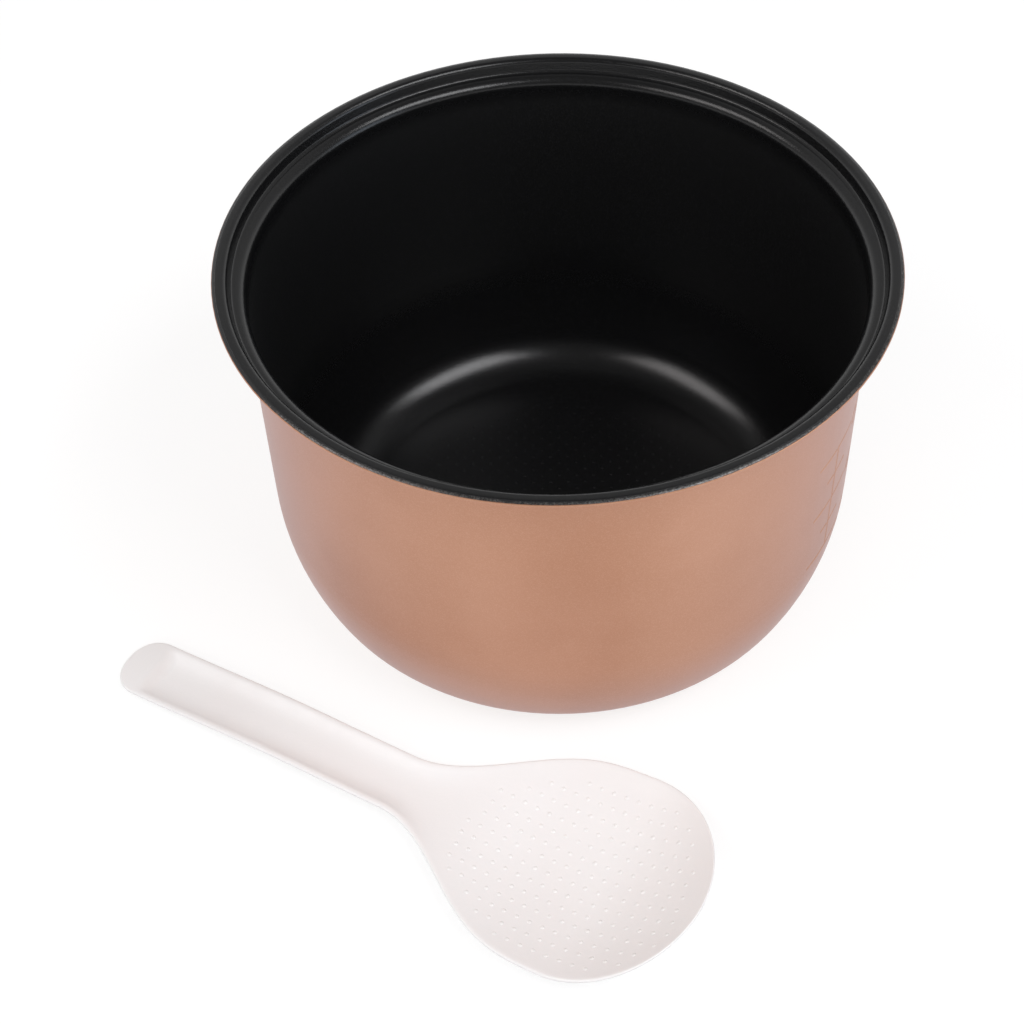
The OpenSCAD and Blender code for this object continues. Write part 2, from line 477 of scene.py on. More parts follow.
# ---- Level scale ----

# Figures one unit high: "at" and "to" a point, and "arc" round a centre, with a radius and two angles
FIGURES = {
    "2": [("arc", 0.30, 0.70, 0.29, 165, -40), ("to", 0.02, 0.0), ("to", 0.62, 0.0)],
    "4": [("at", 0.64, 0.28), ("to", 0.0, 0.28), ("to", 0.46, 1.0), ("to", 0.46, 0.0)],
    "6": [("at", 0.50, 1.0), ("arc", 0.72, 0.30, 0.72, 118, 180), ("arc", 0.30, 0.30, 0.30, 180, 540)],
}
# Degrees between the points of an arc
ARC_STEP = 15
MARKS = 5


def figure_points(strokes):
    """The single line that draws a figure one unit high."""
    points = []
    for kind, *values in strokes:
        if kind == "arc":
            x, y, radius, start, end = values
            steps = ceil(abs(end - start) / ARC_STEP)
            angles = [radians(start + (end - start) * k / steps) for k in range(steps + 1)]
            points += [(x + radius * cos(a), y + radius * sin(a)) for a in angles]
        else:
            points.append(tuple(values))
    return points


def scale_lines(scale, wall):
    """Lines of the scale, unrolled: x runs round the wall and y up it. Every second mark is long."""
    middle, size = scale.azimuth * wall, scale.figure_height
    lines = [[(middle, scale.bottom), (middle, scale.top)]]
    for k in range(MARKS):
        y = scale.bottom + (scale.top - scale.bottom) * k / (MARKS - 1)
        long = k % 2 == 0
        left = scale.long_left if long else scale.short_left
        right = scale.long_right if long else scale.short_right
        lines.append([(middle - left, y), (middle + right, y)])
        if long:
            x, foot = middle + right + scale.figure_gap, y - size / 2
            figure = figure_points(FIGURES[str(k + 2)])
            lines.append([(x + across * size, foot + up * size) for across, up in figure])
    return lines


def fine_places(spots, reach, fine, coarse, low, high):
    """Places from low to high, a fine step apart within reach of the spots and coarse elsewhere."""
    spots = sorted(spots)
    places = [low]
    while places[-1] < high:
        here = places[-1]
        ahead = [spot - reach - here for spot in spots if spot + reach > here]
        gap = max(0, min(ahead, default=coarse))
        step = fine if gap < fine / 2 else min(gap, coarse)
        places.append(min(here + step, high))
    return places


def drawing_object(name, lines):
    """Flat lines as the edges of a mesh."""
    edges, first = [], 0
    for line in lines:
        edges += [(first + k, first + k + 1) for k in range(len(line) - 1)]
        first += len(line)
    return mesh_object(name, [(x, y, 0) for line in lines for x, y in line], edges)


# ---- Geometry Nodes ----


def end_geometry(tree, geometry, material):
    """Smooth shading, real geometry and the material, and then the tree's output."""
    smooth = tree.add("GeometryNodeSetShadeSmooth", Geometry=geometry)
    real = tree.add("GeometryNodeRealizeInstances", Geometry=smooth)
    tree.result(tree.add("GeometryNodeSetMaterial", Geometry=real, Material=material))


@cache
def spun_sheet_tree():
    """Spins a section round Z, with a column at each spoke, and presses a drawing into it."""
    objects = {"Section": "Geometry", "Spokes": "Object", "Drawing": "Object", "Material": "Material"}
    sizes = {"Wall radius": 0.09, "Groove": 0.0002, "Shoulder": 0.0006, "Depth": 0.0003}
    tree, take = new_group("Spun sheet", "GeometryNodeTree", {**objects, **sizes}, "Mesh", "Geometry")
    section = take.Section
    spokes = tree.add("GeometryNodeObjectInfo", Object=take.Spokes).Geometry
    drawing = tree.add("GeometryNodeObjectInfo", Object=take.Drawing).Geometry
    rows = tree.add("GeometryNodeAttributeDomainSize", Geometry=section).Point_Count
    columns = tree.add("GeometryNodeAttributeDomainSize", Geometry=spokes).Point_Count
    grid = tree.add("GeometryNodeMeshGrid", Size_X=1.0, Size_Y=1.0, Vertices_X=columns, Vertices_Y=rows)
    index = tree.add("GeometryNodeInputIndex")
    # The half keeps the column whole where a division falls just short
    column = tree.math("FLOOR", (index + 0.5) / rows)
    row = index - column * rows
    position = tree.add("GeometryNodeInputPosition")
    sampled = []
    for points, which in ((section, row), (spokes, column)):
        inputs = {"Geometry": points, "Value": position, "Index": which}
        sample = tree.add("GeometryNodeSampleIndex", {"data_type": "FLOAT_VECTOR"}, **inputs)
        sampled.append(tree.parts(sample.Value))
    point, angle = sampled[0], sampled[1].X
    unrolled = tree.vector(X=angle * take.Wall_radius, Y=point.Z)
    inputs = {"Geometry": drawing, "Sample_Position": unrolled}
    near = tree.add("GeometryNodeProximity", {"target_element": "EDGES"}, **inputs).Distance
    dent = tree.spread(near, take.Groove, take.Groove + take.Shoulder, take.Depth, 0, smooth=True)
    radius = point.X - dent
    x, y = radius * tree.math("COSINE", angle), radius * tree.math("SINE", angle)
    spun = tree.vector(X=x, Y=y, Z=point.Z)
    moved = tree.add("GeometryNodeSetPosition", Geometry=grid, Position=spun)
    merged = tree.add("GeometryNodeMergeByDistance", Geometry=moved, Distance=ONE_POINT)
    end_geometry(tree, merged, take.Material)
    return tree.data


@cache
def stud_field_tree():
    """Sets low domes on a surface, in rows on a lattice that is dropped on it from above."""
    things = {"Surface": "Geometry", "Material": "Material"}
    lattice = {"Rows": 10, "Columns": 10, "Row pitch": 0.005, "Pitch": 0.005, "Stagger": 0.5, "Wander": 0.0}
    field = {"Seed": 0, "Centre": (0.0, 0.0, 0.0), "Turn": 0.0, "Drop from": 0.05, "Reach": 1.0}
    dome = {"Least gap": 0.0, "Radius": 0.001, "Height": 0.0005, "Sink": 0.0}
    inputs = {**things, **lattice, **field, **dome}
    tree, take = new_group("Stud field", "GeometryNodeTree", inputs, "Studs", "Geometry")
    rows, columns, pitch, wander = take.Rows, take.Columns, take.Pitch, take.Wander
    counts = {"Vertices_X": columns, "Vertices_Y": rows}
    size_x, size_y = pitch * (columns - 1), take.Row_pitch * (rows - 1)
    grid = tree.add("GeometryNodeMeshGrid", Size_X=size_x, Size_Y=size_y, **counts)
    row = tree.add("GeometryNodeInputIndex") % rows
    inputs = {"Min_001": wander * -1, "Max_001": wander, "ID": row, "Seed": take.Seed}
    random = tree.add("FunctionNodeRandomValue", {"data_type": "FLOAT"}, **inputs).Value_001
    offset = tree.vector(X=take.Stagger * pitch * (row % 2) + random)
    shifted = tree.add("GeometryNodeSetPosition", Geometry=grid, Offset=offset)
    turn_z = tree.vector(Z=take.Turn)
    laid = tree.add("GeometryNodeTransform", Geometry=shifted, Translation=take.Centre, Rotation=turn_z)

    here, centre = tree.parts(tree.add("GeometryNodeInputPosition")), tree.parts(take.Centre)
    gap = tree.add("GeometryNodeInputNamedAttribute", {"data_type": "FLOAT"}, Name="edge_gap")
    inputs = {
        "Target_Geometry": take.Surface,
        "Attribute": gap.Attribute,
        "Source_Position": tree.vector(X=here.X, Y=here.Y, Z=take.Drop_from),
        "Ray_Direction": (0.0, 0.0, -1.0),
        "Ray_Length": 1.0,
    }
    ray = tree.add("GeometryNodeRaycast", {"data_type": "FLOAT"}, **inputs)
    across, along = here.X - centre.X, here.Y - centre.Y
    near = across * across + along * along < take.Reach * take.Reach
    keep = near * (ray.Attribute > take.Least_gap) * ray.Is_Hit
    scaling, down = {"operation": "SCALE"}, take.Sink * -1
    sunk = tree.add("ShaderNodeVectorMath", scaling, Vector=ray.Hit_Normal, Scale=down)
    inputs = {"Selection": keep, "Position": ray.Hit_Position, "Offset": sunk}
    landed = tree.add("GeometryNodeSetPosition", Geometry=laid, **inputs)
    inputs = {
        "Points": landed,
        "Selection": keep,
        "Instance": tree.add("GeometryNodeMeshUVSphere", Segments=8, Rings=6, Radius=1.0),
        "Rotation": tree.add("FunctionNodeAlignRotationToVector", {"axis": "Z"}, Vector=ray.Hit_Normal),
        "Scale": tree.vector(X=take.Radius, Y=take.Radius, Z=take.Height),
    }
    end_geometry(tree, tree.add("GeometryNodeInstanceOnPoints", **inputs), take.Material)
    return tree.data


# ---- Shader groups ----

# Levels between which nearly all of a noise lies, and a narrower band that sets its lumps apart
NOISE_RANGE = 0.3, 0.7
NOISE_BAND = 0.35, 0.65


@cache
def grain_group():
    """Fine unevenness of a surface, as a number from low to high."""
    inputs = {"Vector": "Vector", "Size": 0.0003, "Low": 0.0, "High": 1.0}
    tree, take = new_group("Fine grain", "ShaderNodeTree", inputs, "Value", "Float")
    noise = tree.noise(take.Vector, take.Size, detail=2.0)
    tree.result(tree.spread(noise, *NOISE_RANGE, take.Low, take.High))
    return tree.data


@cache
def flake_group():
    """Scattered bright specks, one in each of a share of small cells."""
    inputs = {"Vector": "Vector", "Size": 0.0003, "Share": 0.2, "Strength": 1.0}
    tree, take = new_group("Flakes", "ShaderNodeTree", inputs, "Mask", "Float")
    cells = tree.add("ShaderNodeTexVoronoi", Vector=take.Vector, Scale=1 / take.Size)
    level = tree.add("ShaderNodeSeparateColor", Color=cells.Color).Red
    tree.result(tree.spread(level, 1 - take.Share, 1, 0, take.Strength))
    return tree.data


@cache
def drift_group():
    """A colour that drifts slowly into another."""
    inputs = {"Vector": "Vector", "Size": 0.03, "Colour": WHITE, "Drift colour": WHITE}
    tree, take = new_group("Drift", "ShaderNodeTree", inputs, "Colour", "Color")
    noise = tree.noise(take.Vector, take.Size, detail=3.0)
    level = tree.spread(noise, *NOISE_BAND, 0, 1, smooth=True)
    tree.result(tree.blend(level, take.Colour, take.Drift_colour))
    return tree.data


# ---- Finishes ----


class Finish(Tree):
    """A material that is being made, with plain roughness and metallic unless they are fed."""

    def __init__(self, name, roughness, metallic=0.0):
        self.material = bpy.data.materials.new(name)
        self.material.use_nodes = True
        super().__init__(self.material.node_tree)
        self.shader = next(node for node in self.data.nodes if node.type == "BSDF_PRINCIPLED")
        self.spot = self.add("ShaderNodeTexCoord").Object
        self.put(Roughness=roughness, Metallic=metallic)

    def put(self, **values):
        """Feeds or sets inputs of the shader."""
        for name, value in values.items():
            self.feed(pick(self.shader.inputs, name), value)

    def use(self, group, **values):
        """What a shader group puts out, placed in this material with its own values."""
        return self.add("ShaderNodeGroup", {"node_tree": group()}, **{"Vector": self.spot, **values})

    def bump(self, height, depth):
        """Bump of a depth in metres, driven by a height from 0 to 1."""
        self.put(Normal=self.add("ShaderNodeBump", Strength=1.0, Distance=depth, Height=height))


def nonstick_finish(tints):
    """Black non-stick coat: fine pebbled grain with paler specks, and rougher on the wall."""
    coat = Finish("nonstick_black", roughness=0.33)
    pebble, wall_roughness = 0.4 * MM, 0.24
    wall_foot, wall_top = (30 * MM, 50 * MM), (108 * MM, 113 * MM)
    grain = coat.use(grain_group, Size=pebble)
    specks = coat.use(flake_group, Size=pebble, Share=0.2, Strength=0.8)
    coat.put(Base_Color=coat.blend(specks, tints.black, tints.black_grain))
    height = coat.parts(coat.spot).Z
    on_wall = coat.spread(height, *wall_foot, 0, 1) * coat.spread(height, *wall_top, 1, 0)
    rough = coat.use(grain_group, Size=0.6 * MM, Low=0.19, High=0.27)
    coat.put(Roughness=rough + on_wall * wall_roughness)
    coat.bump(grain, depth=0.012 * MM)
    return coat.material


def copper_finish(tints):
    """Metallic copper paint under a clear coat: fine flakes over a slow drift of tone."""
    paint = Finish("copper_paint", roughness=0.42, metallic=0.7)
    paint.put(Coat_Weight=0.5, Coat_Roughness=0.3, Specular_Tint=tints.copper_edge)
    base = paint.use(drift_group, Size=60 * MM, Colour=tints.copper, Drift_colour=tints.copper_deep)
    flakes = paint.use(flake_group, Size=0.22 * MM, Share=0.5, Strength=0.3)
    paint.put(Base_Color=paint.blend(flakes, base, tints.copper_flake))
    paint.put(Roughness=paint.use(grain_group, Size=0.4 * MM, Low=0.40, High=0.48))
    paint.bump(paint.use(grain_group, Size=0.3 * MM), depth=0.005 * MM)
    return paint.material


def plastic_finish(tints):
    """White moulded plastic with a faint warm drift."""
    plastic = Finish("white_plastic", roughness=0.36)
    base = plastic.use(drift_group, Size=50 * MM, Colour=tints.white, Drift_colour=tints.white_warm)
    rough = plastic.use(grain_group, Size=4 * MM, Low=0.32, High=0.42)
    plastic.put(Base_Color=base, Roughness=rough)
    plastic.bump(plastic.use(grain_group, Size=1.2 * MM), depth=0.01 * MM)
    return plastic.material


def aluminium_finish(tints, pot):
    """Bare aluminium: turned rings below, with painted shade in their valleys, and a lip where black and a
    dark brown band meet it.
    """
    metal = Finish("bare_aluminium", roughness=0.38, metallic=1.0)
    where = metal.parts(metal.spot)
    x, y, z = where.X, where.Y, where.Z
    radius = metal.math("SQRT", x * x + y * y)
    rings = metal.use(grain_group, Vector=metal.vector(X=radius), Size=0.6 * MM)
    # The rings' low valleys take the darker silver: painted shade, following the same height that drives
    # their bump
    bare = metal.blend(rings, tints.silver_dull, tints.silver)
    scuffs = metal.use(grain_group, Size=0.5 * MM)
    scuffed = metal.blend(scuffs, tints.lip_dark, tints.lip_metal)

    # Level round the lip, from 0 where the copper coat ends to 1 where the lining does, with ragged edges
    brown_fades, black_grows, all_black = (0.0, 0.15), (0.8, 1.0), 1.6
    top, drop = POT_TOP.z + pot.lining, pot.lip_drop
    high, low = [top - drop * (1 - cos(end)) for end in (pot.black_end, pot.copper_end)]
    ragged = metal.use(grain_group, Size=0.7 * MM, Low=-0.45, High=0.45)
    patchy = metal.use(grain_group, Size=30 * MM, Low=-0.3, High=0.3)
    level = metal.spread(z, low, high, 0, 1) + ragged
    is_brown = metal.spread(level, *brown_fades, 1, 0)
    # Away from the scuffs the black covers all of the lip
    facing = (x * cos(pot.scuff_at) + y * sin(pot.scuff_at)) / radius
    faded, started = cos(pot.scuff_reach + pot.scuff_fade), cos(pot.scuff_reach)
    covered = metal.spread(facing, faded, started, all_black, 0)
    is_black = metal.spread(level + covered + patchy, *black_grows, 0, 1)
    on_lip = (radius > POT_TOP.x - pot.lip_reach) * (z > low - pot.coat)
    brown, black = is_brown * on_lip, is_black * on_lip

    tint = metal.blend(on_lip, bare, scuffed)
    # The dark brown band just above the copper coat's end
    tint = metal.blend(brown, tint, tints.overspray)
    tint = metal.blend(black, tint, tints.black_grain)
    metal.put(Base_Color=tint, Metallic=metal.spread(brown + black, 0, 1, 1, 0))
    metal.bump(rings, depth=0.01 * MM)
    return metal.material


# ---- Paddle ----


def ease(x):
    """0 to 1, with a soft start and end."""
    held = np.clip(x, 0, 1)
    return held * held * (3 - 2 * held)


def hump(s, start, end):
    """A soft rise to 1 and back to 0 between two places."""
    return (1 - np.cos(2 * pi * np.clip((s - start) / (end - start), 0, 1))) / 2


def mixed(first, second, share):
    """One value passing into another."""
    return first + (second - first) * share


def arc(x, power):
    """A rounded end, from 1 at 0 to 0 at 1. A power of 2 makes it a circle."""
    return np.maximum(0, 1 - np.abs(x) ** power) ** (1 / power)


class PaddleForm:
    """Outline and heights of the paddle by formula: s runs from the handle's end, t to the left."""

    end_round, end_power = 9.4 * MM, 2.2
    neck_power, tip_power = 3.7, 1.95
    step, fade = 4 * MM, 45 * MM
    blade_lift, arch, dip = 5.2 * MM, 1 * MM, 1.2 * MM
    arch_ends, dip_ends = (10 * MM, 100 * MM), (95 * MM, 165 * MM)
    tip_from, tip_curl = 158 * MM, 1.8
    channel_power, dish_power = 2.6, 2
    softening, soft_samples, rest_samples = 0.5 * MM, 7, 400
    # Degrees between the outline's points at its two ends, and its points along a side
    end_step, tip_step, side_points = 6, 3, 125
    # Rings near the edge, in roundings from it, and even rings from there to the middle
    edge_rings, inner_rings = (0, 0.05, 0.15, 0.3, 0.5, 0.75, 1, 1.5, 2, 2.6, 3.3), 16

    def __init__(self, sizes):
        self.p = sizes
        along = np.linspace(0, sizes.long, self.rest_samples)
        self.rest = -float(self.under(along, 0 * along).min())

    def half_width(self, s):
        """Half the width of the outline."""
        p = self.p
        s = np.clip(s, 0, p.long)
        along = (s - self.end_round) / (p.neck_at - self.end_round)
        handle = mixed(p.handle_width, p.neck_width, along) / 2
        end = p.handle_width / 2 * arc(np.clip(1 - s / self.end_round, 0, 1), self.end_power)
        share = np.clip((s - p.neck_at) / (p.blade_at - p.neck_at), 0, 1)
        neck = mixed(p.neck_width, p.blade_width, 1 - (1 - share**2) ** self.neck_power) / 2
        past = np.clip((s - p.blade_at) / (p.long - p.blade_at), 0, 1)
        tip = p.blade_width / 2 * arc(past, self.tip_power)
        below = [s < self.end_round, s < p.neck_at, s < p.blade_at]
        return np.select(below, [end, handle, neck], tip)

    def opening(self, s):
        """How far the handle's channel has opened into the blade's dish."""
        return ease((s - self.p.neck_at) / self.fade)

    def rim(self, s):
        """Height of the rim."""
        curl = np.clip((s - self.tip_from) / (self.p.long - self.tip_from), 0, 1) ** self.tip_curl
        return (
            self.blade_lift * s / self.p.blade_at
            + self.arch * hump(s, *self.arch_ends)
            - self.dip * hump(s, *self.dip_ends)
            + self.p.tip_rise * curl
        )

    def depth(self, s):
        """Depth of the channel or the dish below the rim."""
        dish = self.p.dish * (2 * self.half_width(s) / self.p.blade_width) ** 2
        return mixed(self.p.channel, dish, self.opening(s))

    def power(self, s):
        """How flat the middle of the channel or the dish is."""
        return mixed(self.channel_power, self.dish_power, self.opening(s))

    def sharp_top(self, s, t):
        """Upper face, with a sharp edge where its rim ends."""
        half = self.half_width(s)
        band = mixed(self.p.handle_rim, self.p.blade_rim, self.opening(s))
        inside = np.maximum(half - np.minimum(half / 2, band), ONE_POINT)
        depth = self.depth(s) * ease((s - self.p.pad) / self.step)
        return self.rim(s) - depth * (1 - np.minimum(1, np.abs(t) / inside) ** self.power(s))

    def top(self, s, t):
        """Upper face, with the edge of its rim softened by averaging from side to side."""
        shifts = np.linspace(-self.softening, self.softening, self.soft_samples)
        return sum(self.sharp_top(s, t + shift) for shift in shifts) / len(shifts)

    def under(self, s, t):
        """Underside: the wall's thickness below the top in the middle, and the edge's at its edge."""
        half = np.maximum(self.half_width(s), ONE_POINT)
        depth = self.depth(s) + self.p.wall - self.p.edge
        return self.rim(s) - self.p.edge - depth * (1 - np.minimum(1, np.abs(t) / half) ** self.power(s))

    def outline(self):
        """The closed outline as s and t, and the place on the middle line that each point faces."""
        p = self.p
        end = self.end_round * (1 - np.cos(np.radians(np.arange(0, 90, self.end_step))))
        side = np.linspace(self.end_round, p.blade_at, self.side_points)
        tip_turns = np.radians(np.arange(self.tip_step, 91, self.tip_step))
        s = np.concatenate([end, side, p.blade_at + (p.long - p.blade_at) * np.sin(tip_turns)])
        half = self.half_width(s)
        half[-1] = 0
        loop_s = np.concatenate([s, s[-2:0:-1]])
        loop_t = np.concatenate([-half, half[-2:0:-1]])
        return loop_s, loop_t, np.clip(loop_s, self.end_round, p.blade_at)

    def to_world(self, s, t, z):
        """Points in the frame from distances along, across and above the paddle."""
        spin = Matrix.Rotation(self.p.turned, 3, "Z")
        along, across = [np.array(spin @ Vector(axis)) for axis in ((1, 0, 0), (0, 1, 0))]
        base = np.array([self.p.end[0], self.p.end[1], self.rest])
        return base + s[:, None] * along + t[:, None] * across + z[:, None] * np.array([0, 0, 1.0])


def paddle_object(name, form):
    """Closed moulding: rings from the middle of its underside, round its edge, to the middle on top."""
    loop_s, loop_t, foot = form.outline()
    reach = np.hypot(loop_s - foot, loop_t)
    edge, inner = form.p.edge_round, form.inner_rings
    gaps = [ring * edge for ring in form.edge_rings]
    shares = [1 - gap / reach for gap in gaps]
    shares += [(1 - gaps[-1] / reach) * (1 - k / inner) for k in range(1, inner + 1)]
    gaps += [edge] * inner
    rings = []
    for face, sign in ((form.under, 1), (form.top, -1)):
        side = []
        for share, gap in zip(shares, gaps):
            s, t = foot + (loop_s - foot) * share, loop_t * share
            into = max(0, edge - gap)
            drop = edge - (edge * edge - into * into) ** 0.5
            side.append(np.column_stack([s, t, face(s, t) + sign * drop]))
        rings += side[::-1] if sign > 0 else side
    count = len(loop_s)
    faces = []
    for start in range(0, (len(rings) - 1) * count, count):
        for k in range(count):
            a, b = start + k, start + (k + 1) % count
            faces.append((a, b, b + count, a + count))
    points = form.to_world(*np.concatenate(rings).T)
    made = mesh_object(name, points.tolist(), faces=faces)
    work = bmesh.new()
    work.from_mesh(made.data)
    bmesh.ops.remove_doubles(work, verts=work.verts, dist=ONE_POINT)
    bmesh.ops.dissolve_degenerate(work, edges=work.edges, dist=ONE_POINT / 10)
    bmesh.ops.recalc_face_normals(work, faces=work.faces)
    work.to_mesh(made.data)
    work.free()
    made.data.shade_smooth()
    return made


def mark_edge_gap(mesh, form, start, shift):
    """Stores how far each vertex lies inside the blade's outline, when that is shifted."""
    spin = Matrix.Rotation(-form.p.turned, 3, "Z")
    points = np.array([spin @ (v.co - Vector(form.p.end)) for v in mesh.vertices])
    loop_s, loop_t, _ = form.outline()
    along = points[:, None, 0] - loop_s[None, :] - shift.x
    across = points[:, None, 1] - loop_t[None, :] - shift.y
    nearest = np.sqrt((along**2 + across**2).min(axis=1))
    gaps = np.minimum(nearest, points[:, 0] - start).astype(np.float32)
    mesh.attributes.new("edge_gap", "FLOAT", "POINT").data.foreach_set("value", gaps)


# ---- Operators for the pieces ----


def spun_piece(settings, name, node, line, finish):
    """One layer of the pot, spun from the closed line of its section, with the scale pressed into it."""
    scale, wall = settings.scale, Section(settings.pot).wall
    lines = scale_lines(scale, wall)
    reach = scale.groove + scale.shoulder + scale.fine_step
    spots = [x / wall for drawn in lines for x, _ in drawn]
    pitch, middle = 2 * pi / settings.pot.columns, scale.azimuth
    spokes = fine_places(spots, reach / wall, scale.fine_step / wall, pitch, middle - pi, middle + pi)
    levels = [y for drawn in lines for _, y in drawn]
    heights = fine_places(levels, reach, scale.fine_step, wall, min(levels) - reach, max(levels) + reach)
    drawing = drawing_object("scale_drawing", lines)
    spoke_points = mesh_object("spokes", [(angle, 0, 0) for angle in spokes])
    source = mesh_object(name + "_section", [(p.x, 0, p.y) for p in crossed(line, heights)])
    values = {
        "Spokes": spoke_points,
        "Drawing": drawing,
        "Wall radius": wall,
        "Groove": scale.groove,
        "Shoulder": scale.shoulder,
        "Depth": scale.depth,
    }
    piece = grown(source, spun_sheet_tree(), values, name, finish)
    for helper in (drawing, spoke_points):
        bpy.data.objects.remove(helper)
    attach(piece, "pot")
    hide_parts(node)


def dot_sizes(studs, prefix):
    """Inputs of the dots' tree, from the settings whose names start with a prefix."""
    endings = {"Pitch": "pitch", "Row pitch": "row", "Radius": "radius", "Height": "height", "Sink": "sink"}
    return {label: getattr(studs, prefix + ending) for label, ending in endings.items()}


class RICEPOT_OT_shell(bpy.types.Operator):
    """Forms the aluminium pressing, bare across the base and round the lip"""

    bl_idname = "rice_pot.shell"
    bl_label = "Pot shell"

    def execute(self, context):
        settings = context.scene.rice_pot
        pot, section = settings.pot, Section(settings.pot)
        outer_depth = pot.lining + pot.core
        line = [Vector((0, 0)), Vector((section.flat, 0))] + section.skin(outer_depth)
        line += section.lip(pi, pot.copper_end, pot.coat, 0)
        line += section.lip(pot.copper_end, pot.black_end, 0, 0)[1:]
        line += section.lip(pot.black_end, 0, 0, pot.lining)[1:]
        line += section.skin(pot.lining)[::-1] + [Vector((0, outer_depth + pot.coat - pot.lining))]
        finish = aluminium_finish(settings.finishes, pot)
        spun_piece(settings, "pot_shell_formed", "pot_shell", line, finish)
        return {"FINISHED"}


class RICEPOT_OT_lining(bpy.types.Operator):
    """Forms the black non-stick lining, over the floor, wall, ledge and flange"""

    bl_idname = "rice_pot.lining"
    bl_label = "Non-stick lining"

    def execute(self, context):
        settings = context.scene.rice_pot
        pot, section = settings.pot, Section(settings.pot)
        line = [Vector((0, section.sheet - pot.lining))] + section.skin(pot.lining)
        line += section.lip(0, pot.black_end, pot.lining, 0)
        line += section.lip(pot.black_end, 0, 0, 0)
        line += section.skin(0)[::-1] + [Vector((0, section.sheet))]
        finish = nonstick_finish(settings.finishes)
        spun_piece(settings, "nonstick_lining_formed", "nonstick_lining", line, finish)
        return {"FINISHED"}


class RICEPOT_OT_coat(bpy.types.Operator):
    """Forms the copper coat outside, with the level scale pressed into it"""

    bl_idname = "rice_pot.coat"
    bl_label = "Copper coat"

    def execute(self, context):
        settings = context.scene.rice_pot
        pot, section = settings.pot, Section(settings.pot)
        face = section.skin(section.sheet)
        line = face + section.lip(pi, pot.copper_end, 0, 0)
        line += section.lip(pot.copper_end, pi, 0, pot.coat)
        line += section.skin(pot.lining + pot.core)[::-1] + face[:1]
        finish = copper_finish(settings.finishes)
        spun_piece(settings, "copper_coat_formed", "copper_coat", line, finish)
        return {"FINISHED"}


class RICEPOT_OT_floor_dots(bpy.types.Operator):
    """Sets the small raised dots on the pot's floor"""

    bl_idname = "rice_pot.floor_dots"
    bl_label = "Floor dots"

    def execute(self, context):
        studs = context.scene.rice_pot.studs
        lining = bpy.data.objects["nonstick_lining_formed"]
        values = {
            **dot_sizes(studs, "floor_"),
            "Rows": 2 * ceil(studs.floor_reach / studs.floor_row) + 1,
            "Columns": 2 * ceil(studs.floor_reach / studs.floor_pitch) + 3,
            "Stagger": 0.5,
            "Centre": studs.floor_centre,
            "Reach": studs.floor_reach,
            "Least gap": -1.0,
        }
        source = linked("floor_dots_source", lining.data.copy())
        dots = grown(source, stud_field_tree(), values, "floor_dots", lining.data.materials[0])
        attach(dots, "pot")
        return {"FINISHED"}


class RICEPOT_OT_paddle(bpy.types.Operator):
    """Moulds the paddle: a channelled handle and a dished blade"""

    bl_idname = "rice_pot.paddle"
    bl_label = "Paddle"

    def execute(self, context):
        settings = context.scene.rice_pot
        paddle = paddle_object("rice_paddle_moulded", PaddleForm(settings.paddle))
        paddle.data.materials.append(plastic_finish(settings.finishes))
        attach(paddle, "paddle")
        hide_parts("rice_paddle")
        return {"FINISHED"}


class RICEPOT_OT_blade_dots(bpy.types.Operator):
    """Sets the raised dots on the paddle's blade"""

    bl_idname = "rice_pot.blade_dots"
    bl_label = "Blade dots"

    def execute(self, context):
        settings = context.scene.rice_pot
        studs, form = settings.studs, PaddleForm(settings.paddle)
        width = settings.paddle.blade_width
        paddle = bpy.data.objects["rice_paddle_moulded"]
        source = linked("blade_dots_source", paddle.data.copy())
        mark_edge_gap(source.data, form, studs.blade_from - studs.blade_gap, studs.blade_shift)
        values = {
            **dot_sizes(studs, "blade_"),
            "Rows": 2 * ceil(width / 2 / studs.blade_row) + 1,
            "Columns": ceil(2 * width / studs.blade_pitch),
            "Stagger": 0.0,
            "Wander": studs.blade_wander,
            "Seed": 3,
            "Centre": form.to_world(*np.array([studs.blade_centre]).T)[0].tolist(),
            "Turn": settings.paddle.turned + studs.blade_skew,
            "Least gap": studs.blade_gap,
        }
        dots = grown(source, stud_field_tree(), values, "blade_dots", paddle.data.materials[0])
        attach(dots, "paddle")
        return {"FINISHED"}


# ---- Studio ----


def cleared(data):
    """The empty node tree of a new material or world."""
    data.use_nodes = True
    data.node_tree.nodes.clear()
    return Tree(data.node_tree)


def emission(tree, level):
    """White light of a strength."""
    return tree.add("ShaderNodeEmission", Color=WHITE, Strength=level)


def diffuse(tree, tone):
    """A matt grey."""
    return tree.add("ShaderNodeBsdfDiffuse", Color=(tone, tone, tone, 1))


def shader_mix(tree, factor, first, second):
    """One shader passing into another."""
    return tree.add("ShaderNodeMixShader", Fac=factor, Shader=first, Shader_001=second)


def seen_directly(tree):
    """1 for rays from the camera, from gloss and through glass, and 0 for light on matt surfaces."""
    path = tree.add("ShaderNodeLightPath")
    seen = tree.math("MAXIMUM", path.Is_Camera_Ray, path.Is_Glossy_Ray)
    return tree.math("MAXIMUM", seen, path.Is_Transmission_Ray)


def floor_finish(studio):
    """Plain white floor: part of its white is its own, and the rest shows soft shadows."""
    material = bpy.data.materials.new("studio_floor")
    tree = cleared(material)
    lit, glow = diffuse(tree, studio.floor_shade), emission(tree, studio.floor_level)
    near = tree.add("ShaderNodeAddShader", Shader=lit, Shader_001=glow)
    spot = tree.add("ShaderNodeTexCoord").Object
    away = tree.add("ShaderNodeVectorMath", {"operation": "LENGTH"}, Vector=spot).Value
    fade = tree.spread(away, studio.floor_near, studio.floor_far, 0, 1, smooth=True)
    seen = shader_mix(tree, fade, near, emission(tree, 1.0))
    whole = shader_mix(tree, seen_directly(tree), diffuse(tree, studio.floor_tone), seen)
    tree.add("ShaderNodeOutputMaterial", Surface=whole)
    return material


